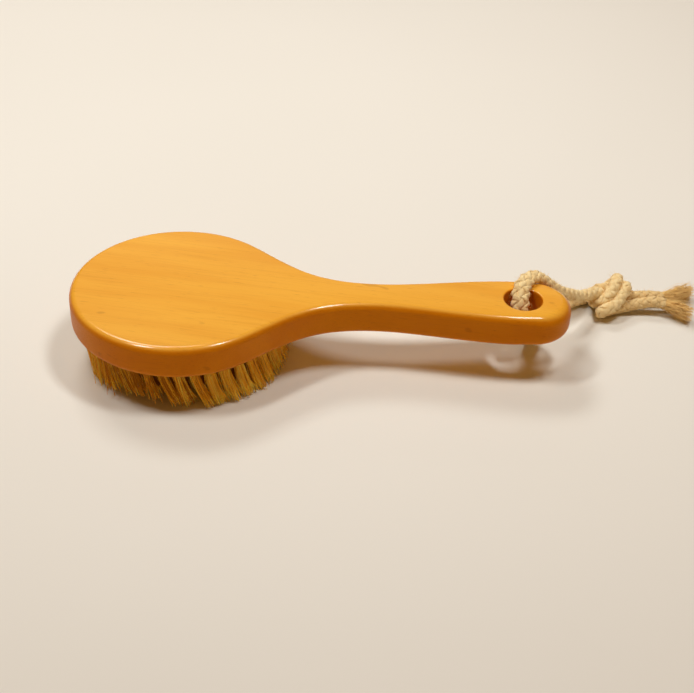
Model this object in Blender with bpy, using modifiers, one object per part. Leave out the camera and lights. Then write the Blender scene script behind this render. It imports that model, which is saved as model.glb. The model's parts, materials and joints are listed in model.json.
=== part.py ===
"""Body dry brush: a one-piece wooden board with round head and handle, staple-set bristle tufts,
and a knotted cotton hanging cord through the hole in the handle.

Frame, in metres: +X from the head to the handle's tip, +Z up out of the board's top face.
The brush stands on its bristle tips at z = 0, and x = y = 0 is the middle of its outline.
"""

import math

import bmesh
import bpy
from mathutils import Matrix, Vector
from mathutils.geometry import interpolate_bezier

MM = 0.001

# Board
LENGTH = 193.2 * MM
HEAD_LENGTH = 84 * MM
HEAD_WIDTH = 82.5 * MM
THICKNESS = 13.4 * MM
NECK_HALF_WIDTH = 8.2 * MM
END_RADIUS = 13.6 * MM
EDGE_ROUNDING = 2.7 * MM
TIP_ROUNDING = 4.6 * MM
TIP_ROUNDING_STARTS = 26 * MM  # this far from the handle's tip, measured along X

# Places along the board, measured from the middle of the head
FLANK_X = 27.2 * MM  # the head's curve ends here and the straight flank begins
FLANK_SLOPE = -0.84
NECK_X = 76 * MM
HANDLE_FULL_X = 130 * MM  # the handle has its full width from here on
HOLE_X = 132.2 * MM
HOLE_RADIUS = 7.4 * MM
HOLE_RIM_ROUNDING = 0.8 * MM

# Bristles
BRISTLE_LENGTH = 17 * MM
TUFT_RADIUS = 2.0 * MM
TUFT_TIP_RADIUS = 2.45 * MM
TUFT_DEPTH = 8 * MM
TUFT_LEAN = 5 * MM  # the tips stand this far nearer the handle than the roots
OUTER_RING_RADIUS = 35.9 * MM
FIELD_SHIFT = -1 * MM  # the bristle field's middle, from the head's middle along X
RING_SPACING = 6 * MM
TUFTS_IN_RING = (38, 32, 26, 20, 12, 6)  # from the outer ring in, around one tuft in the middle
JOINED_TIP_HALF_WIDTH = 3.7 * MM  # along the ring, where neighbouring tufts run into each other
GAP = 0.3 * MM

# Cord
CORD_RADIUS = 2.5 * MM
TAIL_RADIUS = 2.3 * MM
CORD_STEP = 3.5 * MM  # close enough to follow the tight bend over the edge of the board
KNOT_MIDDLE = Vector((120.2, 39.3, 7.3)) * MM
KNOT_LENGTH = 16.4 * MM
KNOT_HALF_WIDTH = 9.6 * MM
KNOT_HALF_HEIGHT = 7.2 * MM
KNOT_END_ANGLE = math.radians(52)  # how far round its bulge the knot's flat ends are
KNOT_FULLNESS = 0.45

# Derived
HEAD_X = (HEAD_LENGTH - LENGTH) / 2
FIELD_X = HEAD_X + FIELD_SHIFT
BOARD_BOTTOM = BRISTLE_LENGTH
TIP_X = HEAD_X + LENGTH - HEAD_LENGTH / 2

# The cord's route from the knot, over the handle's far edge, down through the hole and back under it
CORD_ROUTE_MM = (
    (110.7, 32.6, 9.7),
    (108.3, 31.2, 10.9),
    (105.2, 28.6, 13.0),
    (101.0, 24.6, 16.4),
    (96.6, 20.6, 20.0),
    (92.4, 17.8, 23.9),
    (88.2, 16.4, 28.4),
    (84.8, 15.1, 32.2),
    (81.2, 11.6, 33.8),
    (78.3, 7.6, 33.4),
    (77.1, 4.0, 31.4),
    (76.9, 1.4, 27.8),
    (77.0, 0.4, 23.4),
    (77.2, 0.4, 18.0),
    (77.9, 2.2, 11.8),
    (80.8, 7.4, 6.6),
    (85.0, 14.6, 3.9),
    (89.4, 22.0, 3.0),
    (94.0, 29.2, 3.0),
    (99.0, 34.8, 3.3),
    (103.8, 37.6, 3.9),
    (107.8, 38.2, 4.6),
    (110.7, 37.8, 5.2),
)
FRONT_TAIL_MM = ((129.0, 37.6, 8.2), (136.0, 37.2, 7.4), (143.5, 36.6, 5.4))
REAR_TAIL_MM = ((129.0, 42.4, 6.4), (136.0, 42.4, 5.8), (143.5, 42.8, 4.6))
FRONT_FRAY_MM = ((144.2, 36.5, 5.2), (147.4, 35.6, 4.6), (150.4, 34.0, 4.2), (153.6, 31.8, 3.9))
REAR_FRAY_MM = ((144.2, 42.9, 4.5), (147.4, 43.6, 4.2), (152.0, 45.8, 4.0), (157.4, 49.0, 4.0))
FRAY_RADII = (0.95, 1.2, 1.5)  # of the cord's radius, from the tail to the loose fibre ends


def clear_scene():
    for obj in list(bpy.data.objects):
        bpy.data.objects.remove(obj, do_unlink=True)


def new_collection(name, helper=False):
    collection = bpy.data.collections.new(name)
    bpy.context.scene.collection.children.link(collection)
    collection.hide_render = helper
    return collection


def new_material(name, color, roughness):
    material = bpy.data.materials.new(name)
    material.use_nodes = True
    shader = material.node_tree.nodes["Principled BSDF"]
    shader.inputs["Base Color"].default_value = (*color, 1)
    shader.inputs["Roughness"].default_value = roughness
    shader.inputs["Metallic"].default_value = 0
    return material


def new_object(name, data, collection, material=None):
    obj = bpy.data.objects.new(name, data)
    collection.objects.link(obj)
    if material and not data.materials:
        data.materials.append(material)
    return obj


def new_helper(name, data, collection):
    obj = new_object(name, data, collection)
    obj.hide_render = True
    obj.display_type = "WIRE"
    return obj


def mesh_from(bm, name):
    bmesh.ops.recalc_face_normals(bm, faces=bm.faces)
    mesh = bpy.data.meshes.new(name)
    bm.to_mesh(mesh)
    bm.free()
    return mesh


def shade_smooth(mesh, angle=40):
    mesh.shade_smooth()
    mesh.set_sharp_from_angle(angle=math.radians(angle))


def add_boolean(obj, operation, other):
    modifier = obj.modifiers.new(operation.title(), "BOOLEAN")
    modifier.operation = operation
    modifier.object = other
    modifier.solver = "EXACT"


# Board


def ellipse_arc(start, end, steps):
    """Points on the head's edge, by angle from +X, measured from the middle of the head."""
    for i in range(steps + 1):
        angle = start + (end - start) * i / steps
        yield Vector((HEAD_LENGTH / 2 * math.cos(angle), HEAD_WIDTH / 2 * math.sin(angle)))


def half_outline():
    """The board's edge at y >= 0, from the far end of the head to the handle's tip."""
    flank_angle = math.acos(FLANK_X / (HEAD_LENGTH / 2))
    head = list(ellipse_arc(math.pi, flank_angle, 26))
    flank = head[-1]
    along_flank = Vector((1, FLANK_SLOPE)).normalized()
    neck = Vector((NECK_X, NECK_HALF_WIDTH))
    full = Vector((HANDLE_FULL_X, END_RADIUS))
    shoulder = interpolate_bezier(
        flank, flank + along_flank * 22 * MM, neck - Vector((25 * MM, 0)), neck, 14
    )
    grip = interpolate_bezier(
        neck, neck + Vector((16 * MM, 0)), full - Vector((18 * MM, 0)), full, 12
    )
    end_middle = LENGTH - HEAD_LENGTH / 2 - END_RADIUS
    end = [
        Vector((end_middle + END_RADIUS * math.sin(a), END_RADIUS * math.cos(a)))
        for a in (math.pi / 2 * i / 12 for i in range(13))
    ]
    return head + shoulder[1:] + grip[1:] + end


def outline():
    upper = half_outline()
    lower = [Vector((p.x, -p.y)) for p in reversed(upper[1:-1])]
    return [Vector((p.x + HEAD_X, p.y, 0)) for p in upper + lower]


def rounding_weight(x):
    """The share of TIP_ROUNDING that the board's edge has at x: it grows towards the handle's tip."""
    least = EDGE_ROUNDING / TIP_ROUNDING
    t = min(1, max(0, (x - TIP_X + TIP_ROUNDING_STARTS) / TIP_ROUNDING_STARTS))
    return least + (1 - least) * t * t * (3 - 2 * t)


def board_mesh():
    bm = bmesh.new()
    bottom = bm.faces.new([bm.verts.new(p + Vector((0, 0, BOARD_BOTTOM))) for p in outline()])
    raised = bmesh.ops.extrude_face_region(bm, geom=[bottom])["geom"]
    lifted = [v for v in raised if isinstance(v, bmesh.types.BMVert)]
    bmesh.ops.translate(bm, verts=lifted, vec=(0, 0, THICKNESS))
    weight = bm.edges.layers.float.new("bevel_weight_edge")
    for edge in bm.edges:
        a, b = (v.co for v in edge.verts)
        if abs(a.z - b.z) < THICKNESS / 2:
            edge[weight] = rounding_weight((a.x + b.x) / 2)
    return mesh_from(bm, "wooden_body")


def hole_cutter(collection):
    """The hanging hole with its rounded rims, turned about the hole's axis."""
    reach = THICKNESS / 2 + 2 * MM
    face = THICKNESS / 2
    r, c = HOLE_RADIUS, HOLE_RIM_ROUNDING
    upper = [(0, reach), (r + c, reach), (r + c, face), (r + 0.3 * c, face - 0.3 * c), (r, face - c)]
    profile = upper + [(x, -z) for x, z in reversed(upper)]
    bm = bmesh.new()
    points = [bm.verts.new((x, 0, z)) for x, z in profile]
    for a, b in zip(points, points[1:]):
        bm.edges.new((a, b))
    mesh = bpy.data.meshes.new("hole_cutter")
    bm.to_mesh(mesh)
    bm.free()
    obj = new_helper("hole_cutter", mesh, collection)
    obj.location = (HEAD_X + HOLE_X, 0, BOARD_BOTTOM + face)
    screw = obj.modifiers.new("Turn", "SCREW")
    screw.steps = screw.render_steps = 36
    screw.use_merge_vertices = True
    screw.merge_threshold = 0.00001
    return obj


def tuft_places():
    """For each ring from the outer one in, the (x, y, angle) of its tufts; the middle tuft comes last."""
    for ring, count in enumerate(TUFTS_IN_RING):
        radius = OUTER_RING_RADIUS - ring * RING_SPACING
        places = []
        for i in range(count):
            angle = 2 * math.pi * (i + 0.5 * (ring % 2)) / count
            places.append((FIELD_X + radius * math.cos(angle), radius * math.sin(angle), angle))
        yield places
    yield [(FIELD_X, 0, 0)]


def add_column(bm, levels, sides, turn, at):
    """A closed column: levels are (z, half size along the turned X, along the turned Y, shift in X)."""
    rings = []
    for z, along, across, shift in levels:
        circle = bmesh.ops.create_circle(
            bm, cap_ends=False, segments=sides, radius=1, matrix=Matrix.Diagonal((along, across, 1, 1))
        )["verts"]
        place = Matrix.Translation((at[0] + shift, at[1], z)) @ Matrix.Rotation(turn, 4, "Z")
        bmesh.ops.transform(bm, matrix=place, verts=circle)
        rings.append(circle)
    for a, b in zip(rings, rings[1:]):
        for i in range(sides):
            j = (i + 1) % sides
            bm.faces.new((a[i], a[j], b[j], b[i]))
    bm.faces.new(rings[0])
    bm.faces.new(rings[-1])


def tuft_levels(tip_along, tip_across):
    """A tuft from its bristle tips up to its root in the board."""
    middle = 0.5 * BRISTLE_LENGTH
    return (
        (0, tip_along, tip_across, TUFT_LEAN),
        (middle, (tip_along + TUFT_RADIUS) / 2, (tip_across + TUFT_RADIUS) / 2, 0.4 * TUFT_LEAN),
        (BOARD_BOTTOM, TUFT_RADIUS, TUFT_RADIUS, 0),
        (BOARD_BOTTOM + TUFT_DEPTH - GAP, TUFT_RADIUS, TUFT_RADIUS, 0),
    )


def drill_cutter(collection):
    """One blind hole for each tuft."""
    bm = bmesh.new()
    size = TUFT_RADIUS + GAP
    levels = ((BOARD_BOTTOM - 2 * MM, size, size, 0), (BOARD_BOTTOM + TUFT_DEPTH, size, size, 0))
    for ring, places in enumerate(tuft_places()):
        for x, y, angle in places:
            add_column(bm, levels, sides_of(ring), angle, (x, y))
    return new_helper("drill_cutter", mesh_from(bm, "drill_cutter"), collection)


def sides_of(ring):
    return 8 if ring == 0 else 6


def make_board(parts, cutters, wood):
    board = new_object("wooden_body", board_mesh(), parts, wood)
    shade_smooth(board.data)
    bevel = board.modifiers.new("Rounded edges", "BEVEL")
    bevel.limit_method = "WEIGHT"
    bevel.width = TIP_ROUNDING
    bevel.segments = 3
    add_boolean(board, "DIFFERENCE", hole_cutter(cutters))
    add_boolean(board, "DIFFERENCE", drill_cutter(cutters))


# Bristles


def make_single_tuft(name, place, sides, parts, bristle):
    x, y, angle = place
    bm = bmesh.new()
    levels = tuft_levels(TUFT_TIP_RADIUS, TUFT_TIP_RADIUS)
    add_column(bm, levels, sides, angle, (x, y))
    tuft = new_object(name, mesh_from(bm, name), parts, bristle)
    shade_smooth(tuft.data, 50)


def ring_half(places, sides, first):
    """Every second tuft of a ring, with tips that are wide along the ring."""
    bm = bmesh.new()
    levels = tuft_levels(TUFT_TIP_RADIUS - 0.15 * MM, JOINED_TIP_HALF_WIDTH)
    for x, y, angle in places[first::2]:
        add_column(bm, levels, sides, angle, (x, y))
    return mesh_from(bm, "ring_half")


def make_bristles(parts, cutters, bristle):
    *rings, middle = tuft_places()
    for i, place in enumerate(rings[0]):
        make_single_tuft(f"bristle_tuft_{i + 1:02d}", place, sides_of(0), parts, bristle)
    for ring, places in enumerate(rings[1:], 1):
        name = f"bristle_ring_{ring + 1}"
        body = new_object(name, ring_half(places, sides_of(ring), 0), parts, bristle)
        between = new_helper(name + "_between", ring_half(places, sides_of(ring), 1), cutters)
        add_boolean(body, "UNION", between)
        shade_smooth(body.data, 50)
    make_single_tuft("bristle_tuft_middle", middle[0], sides_of(1), parts, bristle)


# Cord


def smooth_route(points_mm, step):
    """Evenly spaced points on a smooth curve through the given ones."""
    points = [Vector(p) * MM for p in points_mm]
    ends = [points[0] * 2 - points[1]] + points + [points[-1] * 2 - points[-2]]
    fine = []
    for before, a, b, after in zip(ends, ends[1:], ends[2:], ends[3:]):
        out, back = (b - before) / 6, (after - a) / 6
        fine += interpolate_bezier(a, a + out, b - back, b, 25)[:-1]
    fine.append(points[-1])
    travelled = [0.0]
    for a, b in zip(fine, fine[1:]):
        travelled.append(travelled[-1] + (b - a).length)
    count = max(2, round(travelled[-1] / step))
    route, k = [], 0
    for i in range(count + 1):
        target = travelled[-1] * i / count
        while k < len(fine) - 2 and travelled[k + 1] < target:
            k += 1
        t = (target - travelled[k]) / (travelled[k + 1] - travelled[k])
        route.append(fine[k].lerp(fine[k + 1], t))
    return route


def make_tube(name, points, radius, parts, cotton, shares=None):
    """A round tube along the points; shares scale its radius from the first point to the last."""
    curve = bpy.data.curves.new(name, "CURVE")
    curve.dimensions = "3D"
    curve.bevel_depth = radius
    curve.bevel_resolution = 2
    curve.use_fill_caps = True
    spline = curve.splines.new("POLY")
    spline.points.add(len(points) - 1)
    for i, point in enumerate(points):
        spline.points[i].co = (*point, 1)
        if shares:
            place = i / (len(points) - 1) * (len(shares) - 1)
            k = min(int(place), len(shares) - 2)
            spline.points[i].radius = shares[k] + (shares[k + 1] - shares[k]) * (place - k)
    new_object(name, curve, parts, cotton)


def make_knot(parts, cotton):
    """The outer shape of the overhand knot: a short barrel along X with flat ends."""
    levels = []
    for i in range(-3, 4):
        angle = KNOT_END_ANGLE * i / 3
        swell = math.cos(angle) ** KNOT_FULLNESS
        along = KNOT_LENGTH / 2 * math.sin(angle) / math.sin(KNOT_END_ANGLE)
        levels.append((along, KNOT_HALF_HEIGHT * swell, KNOT_HALF_WIDTH * swell, 0))
    bm = bmesh.new()
    add_column(bm, levels, 16, 0, (0, 0))
    knot = new_object("cord_knot", mesh_from(bm, "cord_knot"), parts, cotton)
    knot.location = KNOT_MIDDLE
    knot.rotation_euler = (0, math.pi / 2, 0)
    shade_smooth(knot.data)


def make_cord(parts, cotton):
    make_tube("cord_loop", smooth_route(CORD_ROUTE_MM, CORD_STEP), CORD_RADIUS, parts, cotton)
    make_knot(parts, cotton)
    for side, tail, fray in (
        ("front", FRONT_TAIL_MM, FRONT_FRAY_MM),
        ("rear", REAR_TAIL_MM, REAR_FRAY_MM),
    ):
        make_tube(f"cord_tail_{side}", smooth_route(tail, CORD_STEP), TAIL_RADIUS, parts, cotton)
        fibres = smooth_route(fray, CORD_STEP)
        make_tube(f"frayed_end_{side}", fibres, CORD_RADIUS, parts, cotton, FRAY_RADII)


clear_scene()
brush = new_collection("body_dry_brush")
cutters = new_collection("cutters", helper=True)
make_board(brush, cutters, new_material("varnished_wood", (0.72, 0.38, 0.09), 0.28))
make_bristles(brush, cutters, new_material("bristle", (0.52, 0.33, 0.12), 0.6))
make_cord(brush, new_material("cotton_cord", (0.80, 0.68, 0.48), 0.9))
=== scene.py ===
"""The body dry brush as it looks: varnished wooden board, natural bristle, braided cotton cord.

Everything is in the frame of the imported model, in metres: +X from the head to the handle's tip,
+Z up out of the board's flat top, and the bristle tips stand on z = 0.
"""

import json
import math

import bmesh
import bpy
import numpy as np
from mathutils import Matrix, Vector
from mathutils.geometry import delaunay_2d_cdt
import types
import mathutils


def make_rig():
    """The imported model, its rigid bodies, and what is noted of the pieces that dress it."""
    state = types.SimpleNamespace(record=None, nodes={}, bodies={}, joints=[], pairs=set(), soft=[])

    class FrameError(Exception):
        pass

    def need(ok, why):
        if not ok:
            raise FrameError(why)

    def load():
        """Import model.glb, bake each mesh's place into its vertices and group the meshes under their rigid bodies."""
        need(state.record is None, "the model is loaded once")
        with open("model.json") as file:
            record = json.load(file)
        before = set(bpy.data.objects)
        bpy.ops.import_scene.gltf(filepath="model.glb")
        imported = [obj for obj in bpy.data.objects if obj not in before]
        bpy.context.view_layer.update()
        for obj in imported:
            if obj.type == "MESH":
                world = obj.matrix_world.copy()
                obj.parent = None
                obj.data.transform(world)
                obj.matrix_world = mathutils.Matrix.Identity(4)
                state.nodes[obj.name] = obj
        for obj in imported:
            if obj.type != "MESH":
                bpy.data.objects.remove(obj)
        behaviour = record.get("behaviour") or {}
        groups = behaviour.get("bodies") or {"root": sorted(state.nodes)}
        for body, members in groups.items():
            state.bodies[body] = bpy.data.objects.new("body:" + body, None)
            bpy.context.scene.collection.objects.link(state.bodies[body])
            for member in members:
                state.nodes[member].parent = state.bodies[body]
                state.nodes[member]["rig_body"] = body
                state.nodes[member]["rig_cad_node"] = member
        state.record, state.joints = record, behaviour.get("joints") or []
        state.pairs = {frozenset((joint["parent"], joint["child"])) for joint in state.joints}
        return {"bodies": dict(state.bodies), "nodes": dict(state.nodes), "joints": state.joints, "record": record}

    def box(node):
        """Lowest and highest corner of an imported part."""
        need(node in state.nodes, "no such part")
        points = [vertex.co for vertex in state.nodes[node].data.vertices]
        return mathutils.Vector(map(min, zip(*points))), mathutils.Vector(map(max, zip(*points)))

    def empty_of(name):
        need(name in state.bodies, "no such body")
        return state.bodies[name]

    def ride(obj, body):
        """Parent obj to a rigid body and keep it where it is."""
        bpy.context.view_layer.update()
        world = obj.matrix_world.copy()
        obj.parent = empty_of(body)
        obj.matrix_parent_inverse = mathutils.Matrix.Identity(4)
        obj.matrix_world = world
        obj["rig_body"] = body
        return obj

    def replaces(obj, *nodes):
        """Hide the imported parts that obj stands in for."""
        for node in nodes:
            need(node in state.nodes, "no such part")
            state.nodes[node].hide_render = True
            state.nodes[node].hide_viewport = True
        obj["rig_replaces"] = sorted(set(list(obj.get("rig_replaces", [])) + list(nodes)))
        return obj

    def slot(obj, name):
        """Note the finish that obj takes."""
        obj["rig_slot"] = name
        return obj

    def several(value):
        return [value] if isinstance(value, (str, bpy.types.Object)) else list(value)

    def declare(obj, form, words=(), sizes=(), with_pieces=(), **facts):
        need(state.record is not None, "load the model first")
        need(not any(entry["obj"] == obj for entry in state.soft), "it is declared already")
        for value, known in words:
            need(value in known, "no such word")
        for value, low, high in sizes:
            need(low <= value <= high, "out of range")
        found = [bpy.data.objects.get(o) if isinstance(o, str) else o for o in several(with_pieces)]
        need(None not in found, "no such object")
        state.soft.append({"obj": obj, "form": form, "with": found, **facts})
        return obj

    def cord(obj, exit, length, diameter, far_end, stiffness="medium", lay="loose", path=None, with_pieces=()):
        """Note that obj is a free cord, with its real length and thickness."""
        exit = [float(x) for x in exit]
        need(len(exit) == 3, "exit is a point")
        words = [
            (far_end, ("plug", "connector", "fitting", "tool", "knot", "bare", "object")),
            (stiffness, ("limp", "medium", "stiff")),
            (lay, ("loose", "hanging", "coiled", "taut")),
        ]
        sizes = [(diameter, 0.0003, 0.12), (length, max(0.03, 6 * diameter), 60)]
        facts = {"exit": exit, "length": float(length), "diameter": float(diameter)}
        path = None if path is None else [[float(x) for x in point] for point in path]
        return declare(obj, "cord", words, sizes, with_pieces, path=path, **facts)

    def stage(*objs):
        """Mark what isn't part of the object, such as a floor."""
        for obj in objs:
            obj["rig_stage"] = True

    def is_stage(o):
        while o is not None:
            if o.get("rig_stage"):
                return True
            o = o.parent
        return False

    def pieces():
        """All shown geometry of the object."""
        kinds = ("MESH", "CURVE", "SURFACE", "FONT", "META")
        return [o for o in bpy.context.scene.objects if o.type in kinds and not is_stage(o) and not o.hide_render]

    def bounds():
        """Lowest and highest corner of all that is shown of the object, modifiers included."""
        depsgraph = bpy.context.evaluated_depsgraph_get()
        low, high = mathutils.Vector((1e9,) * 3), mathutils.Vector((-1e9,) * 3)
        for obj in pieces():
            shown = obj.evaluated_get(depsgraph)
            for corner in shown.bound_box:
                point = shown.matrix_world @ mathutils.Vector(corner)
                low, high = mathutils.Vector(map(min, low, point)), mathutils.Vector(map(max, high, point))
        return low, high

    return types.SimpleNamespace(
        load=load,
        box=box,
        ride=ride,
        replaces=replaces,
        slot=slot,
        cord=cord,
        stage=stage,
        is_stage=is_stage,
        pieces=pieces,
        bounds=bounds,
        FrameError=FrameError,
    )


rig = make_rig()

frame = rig.load()
CAD_LOW, CAD_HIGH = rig.bounds()

MM = 0.001
SEED = 41
random = np.random.default_rng(SEED)

# Places read from the frame
BOARD_LOW, BOARD_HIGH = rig.box("wooden_body")
KNOT_LOW, KNOT_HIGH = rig.box("cord_knot")
LENGTH = BOARD_HIGH.x - BOARD_LOW.x
HEAD_WIDTH = BOARD_HIGH.y - BOARD_LOW.y
THICKNESS = BOARD_HIGH.z - BOARD_LOW.z

# Board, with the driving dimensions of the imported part
HEAD_LENGTH = 84 * MM
NECK_HALF_WIDTH = 8.2 * MM
END_RADIUS = 13.6 * MM
EDGE_ROUNDING = 2.7 * MM
TIP_ROUNDING = 4.6 * MM
TIP_ROUNDING_STARTS = 26 * MM  # before the handle's tip
FLANK_X = 27.2 * MM  # where the head's ellipse ends; this and the next are from the head's middle
NECK_X = 76 * MM
HANDLE_FULL_X = 130 * MM
FLANK_SLOPE = -0.84  # of the outline where the ellipse ends
SHOULDER_HANDLES = np.array((22, 25)) * MM  # of the curve from the head to the neck
GRIP_HANDLES = np.array((16, 18)) * MM  # of the curve from the neck to the full width
HOLE_X = 132.2 * MM  # from the head's middle
HOLE_RADIUS = 7.4 * MM
HOLE_RIM_ROUNDING = 0.8 * MM
HEAD_X = BOARD_LOW.x + HEAD_LENGTH / 2
HOLE = Vector((HEAD_X + HOLE_X, 0, 0))

# Bristles
TUFT_RADIUS = 2.0 * MM
TUFT_LEAN = 5 * MM  # of the tips, towards the handle
FIELD_X = HEAD_X - 1 * MM
OUTER_RING_RADIUS = 35.9 * MM
RING_SPACING = 6 * MM
TUFTS_IN_RING = (38, 32, 26, 20, 12, 6)
RECESS_RADIUS = TUFT_RADIUS + 0.3 * MM
RECESS_DEPTH = 2.5 * MM

# Cord
CORD_RADIUS = 2.5 * MM
BRAID_PITCH = 15 * MM
CORD_STEP = 0.6 * MM  # between points along the cord


# ---------------------------------------------------------------- camera

CAMERA_PLACE = Vector((3.7, -412.3, 313.4)) * MM
CAMERA_YAW = math.radians(0.96)
CAMERA_PITCH = math.radians(36.85)
CAMERA_ROLL = math.radians(2.71)
CAMERA_LENS = 67.44


def make_camera():
    data = bpy.data.cameras.new("camera")
    data.lens = CAMERA_LENS
    data.sensor_width = 36
    data.clip_start = 0.01
    data.clip_end = 20
    camera = bpy.data.objects.new("camera", data)
    bpy.context.scene.collection.objects.link(camera)
    turn = Matrix.Rotation(-CAMERA_YAW, 4, "Z")
    tilt = Matrix.Rotation(math.pi / 2 - CAMERA_PITCH, 4, "X")
    roll = Matrix.Rotation(CAMERA_ROLL, 4, "Z")
    camera.matrix_world = Matrix.Translation(CAMERA_PLACE) @ turn @ tilt @ roll
    bpy.context.scene.camera = camera


make_camera()


# ---------------------------------------------------------------- mesh helpers


def unit(vectors):
    """The vectors, each made one unit long."""
    return vectors / np.maximum(np.linalg.norm(vectors, axis=-1, keepdims=True), 1e-12)


def smoothstep(t):
    """0 below 0 and 1 above 1, with a smooth rise between."""
    t = np.clip(t, 0, 1)
    return t * t * (3 - 2 * t)


def mesh_object(name, vertices, faces, materials, sharp_angle=None):
    """A smooth-shaded object; edges over sharp_angle degrees, if given, stay sharp."""
    mesh = bpy.data.meshes.new(name)
    mesh.from_pydata(np.asarray(vertices).tolist(), [], faces)
    mesh.update()
    for material in materials:
        mesh.materials.append(material)
    mesh.shade_smooth()
    if sharp_angle:
        mesh.set_sharp_from_angle(angle=math.radians(sharp_angle))
    obj = bpy.data.objects.new(name, mesh)
    bpy.context.scene.collection.objects.link(obj)
    return obj


def point_attribute(obj, name, values):
    attribute = obj.data.attributes.new(name, "FLOAT", "POINT")
    attribute.data.foreach_set("value", np.asarray(values, np.float32).ravel())


def tubes(paths, wide, thick, sides, side_way=None):
    """Closed tubes along paths (count, steps, 3); wide and thick are half sizes that broadcast to
    (count, steps), and side_way, if given, is the direction of the wide size at each point."""
    count, steps, _ = paths.shape
    along = unit(np.gradient(paths, axis=1))
    if side_way is None:
        helper = np.where(np.abs(along[..., 2:3]) > 0.9, (1.0, 0, 0), (0, 0, 1.0))
        side_way = np.cross(along, helper)
    across = unit(side_way - along * (side_way * along).sum(-1, keepdims=True))
    outwards = np.cross(along, across)
    wide = np.broadcast_to(wide, (count, steps))[..., None, None]
    thick = np.broadcast_to(thick, (count, steps))[..., None, None]
    angles = np.linspace(0, 2 * math.pi, sides, endpoint=False)
    cos, sin = np.cos(angles)[:, None], np.sin(angles)[:, None]
    ring = wide * cos * across[:, :, None] + thick * sin * outwards[:, :, None]
    vertices = (paths[:, :, None] + ring).reshape(-1, 3)
    first = (np.arange(count)[:, None, None] * steps + np.arange(steps - 1)[None, :, None]) * sides
    here = np.arange(sides)[None, None, :]
    after = (here + 1) % sides
    quads = np.stack(
        np.broadcast_arrays(first + here, first + after, first + sides + after, first + sides + here),
        axis=-1,
    ).reshape(-1, 4)
    starts = np.arange(count)[:, None] * steps * sides + np.arange(sides)[None, ::-1]
    ends = (np.arange(count)[:, None] * steps + steps - 1) * sides + np.arange(sides)[None, :]
    return vertices, quads.tolist() + starts.tolist() + ends.tolist()


# ---------------------------------------------------------------- material helpers


class Shader:
    """A Principled material and short ways to add nodes to it."""

    def __init__(self, name, **constants):
        self.material = bpy.data.materials.new(name)
        self.material.use_nodes = True
        self.tree = self.material.node_tree
        self.surface = self.tree.nodes["Principled BSDF"]
        for socket, value in constants.items():
            self.surface.inputs[socket.replace("_", " ")].default_value = value

    def node(self, kind, settings=(), **inputs):
        made = self.tree.nodes.new(kind)
        for key, value in dict(settings).items():
            setattr(made, key, value)
        for key, value in inputs.items():
            self.put(made.inputs[key.replace("_", " ")], value)
        return made

    def put(self, socket, value):
        if isinstance(value, bpy.types.NodeSocket):
            self.tree.links.new(value, socket)
        else:
            socket.default_value = value

    def give(self, socket, value):
        self.put(self.surface.inputs[socket], value)

    def place(self, scale=(1, 1, 1), bend=0.0, bend_scale=10.0, turn=0.0):
        """Object coordinates in metres, bent by a soft noise, turned about Z and stretched."""
        coords = self.node("ShaderNodeTexCoord").outputs["Object"]
        if bend:
            noise = self.node("ShaderNodeTexNoise", Vector=coords, Scale=bend_scale, Detail=1.0)
            shift = self.vector_math("SUBTRACT", noise.outputs["Color"], (0.5, 0.5, 0.5))
            coords = self.vector_math("MULTIPLY_ADD", shift, (bend, bend, bend), coords)
        if turn:
            rotated = self.node(
                "ShaderNodeVectorRotate", {"rotation_type": "Z_AXIS"}, Vector=coords, Angle=turn
            )
            coords = rotated.outputs["Vector"]
        return self.node("ShaderNodeMapping", Vector=coords, Scale=scale).outputs["Vector"]

    def vector_math(self, operation, *values):
        made = self.node("ShaderNodeVectorMath", {"operation": operation})
        for socket, value in zip(made.inputs, values):
            self.put(socket, value)
        return made.outputs["Vector"]

    def math(self, operation, *values):
        made = self.node("ShaderNodeMath", {"operation": operation})
        for socket, value in zip(made.inputs, values):
            self.put(socket, value)
        return made.outputs["Value"]

    def noise(self, vector, scale, detail=2.0, roughness=0.5):
        made = self.node(
            "ShaderNodeTexNoise", Vector=vector, Scale=scale, Detail=detail, Roughness=roughness
        )
        return made.outputs["Fac"]

    def spread(self, value, low, high, to_low=0.0, to_high=1.0):
        """value from low to high, mapped smoothly to to_low to to_high."""
        made = self.node(
            "ShaderNodeMapRange", {"interpolation_type": "SMOOTHSTEP"}, Value=value,
            From_Min=low, From_Max=high, To_Min=to_low, To_Max=to_high,
        )
        return made.outputs["Result"]

    def mix(self, share, first, second, blend="MIX"):
        """A blend of two colours; sockets 6 and 7 are the node's colour inputs, 2 its output."""
        made = self.node("ShaderNodeMix", {"data_type": "RGBA", "blend_type": blend})
        self.put(made.inputs["Factor"], share)
        for socket, color in ((6, first), (7, second)):
            linked = isinstance(color, bpy.types.NodeSocket)
            self.put(made.inputs[socket], color if linked else (*color, 1))
        return made.outputs[2]

    def bump(self, height, distance, strength=1.0, normal=None):
        made = self.node("ShaderNodeBump", Height=height, Strength=strength, Distance=distance)
        if normal is not None:
            self.put(made.inputs["Normal"], normal)
        return made.outputs["Normal"]

    def attribute(self, name):
        return self.node("ShaderNodeAttribute", {"attribute_name": name}).outputs["Fac"]


# ---------------------------------------------------------------- materials


GRAIN_ANGLE = math.radians(9)  # of the grain from the handle's line

# Colours of the wood as it shows through the amber varnish
WOOD_PALE = (0.88, 0.43, 0.040)
WOOD_BAND = (0.82, 0.365, 0.028)
WOOD_CLOUD = (0.76, 0.33, 0.026)
WOOD_FIBRE = (0.62, 0.25, 0.020)
WOOD_PORE = (0.42, 0.15, 0.012)
WOOD_SPECK = (0.30, 0.10, 0.010)
STEEP_PAINTED_SHADE = (0.75, 0.48, 0.065)  # painted shade: multiplies the colour where the surface is steep, so the board's sides and the hole's wall come out darker than its flats

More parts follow.
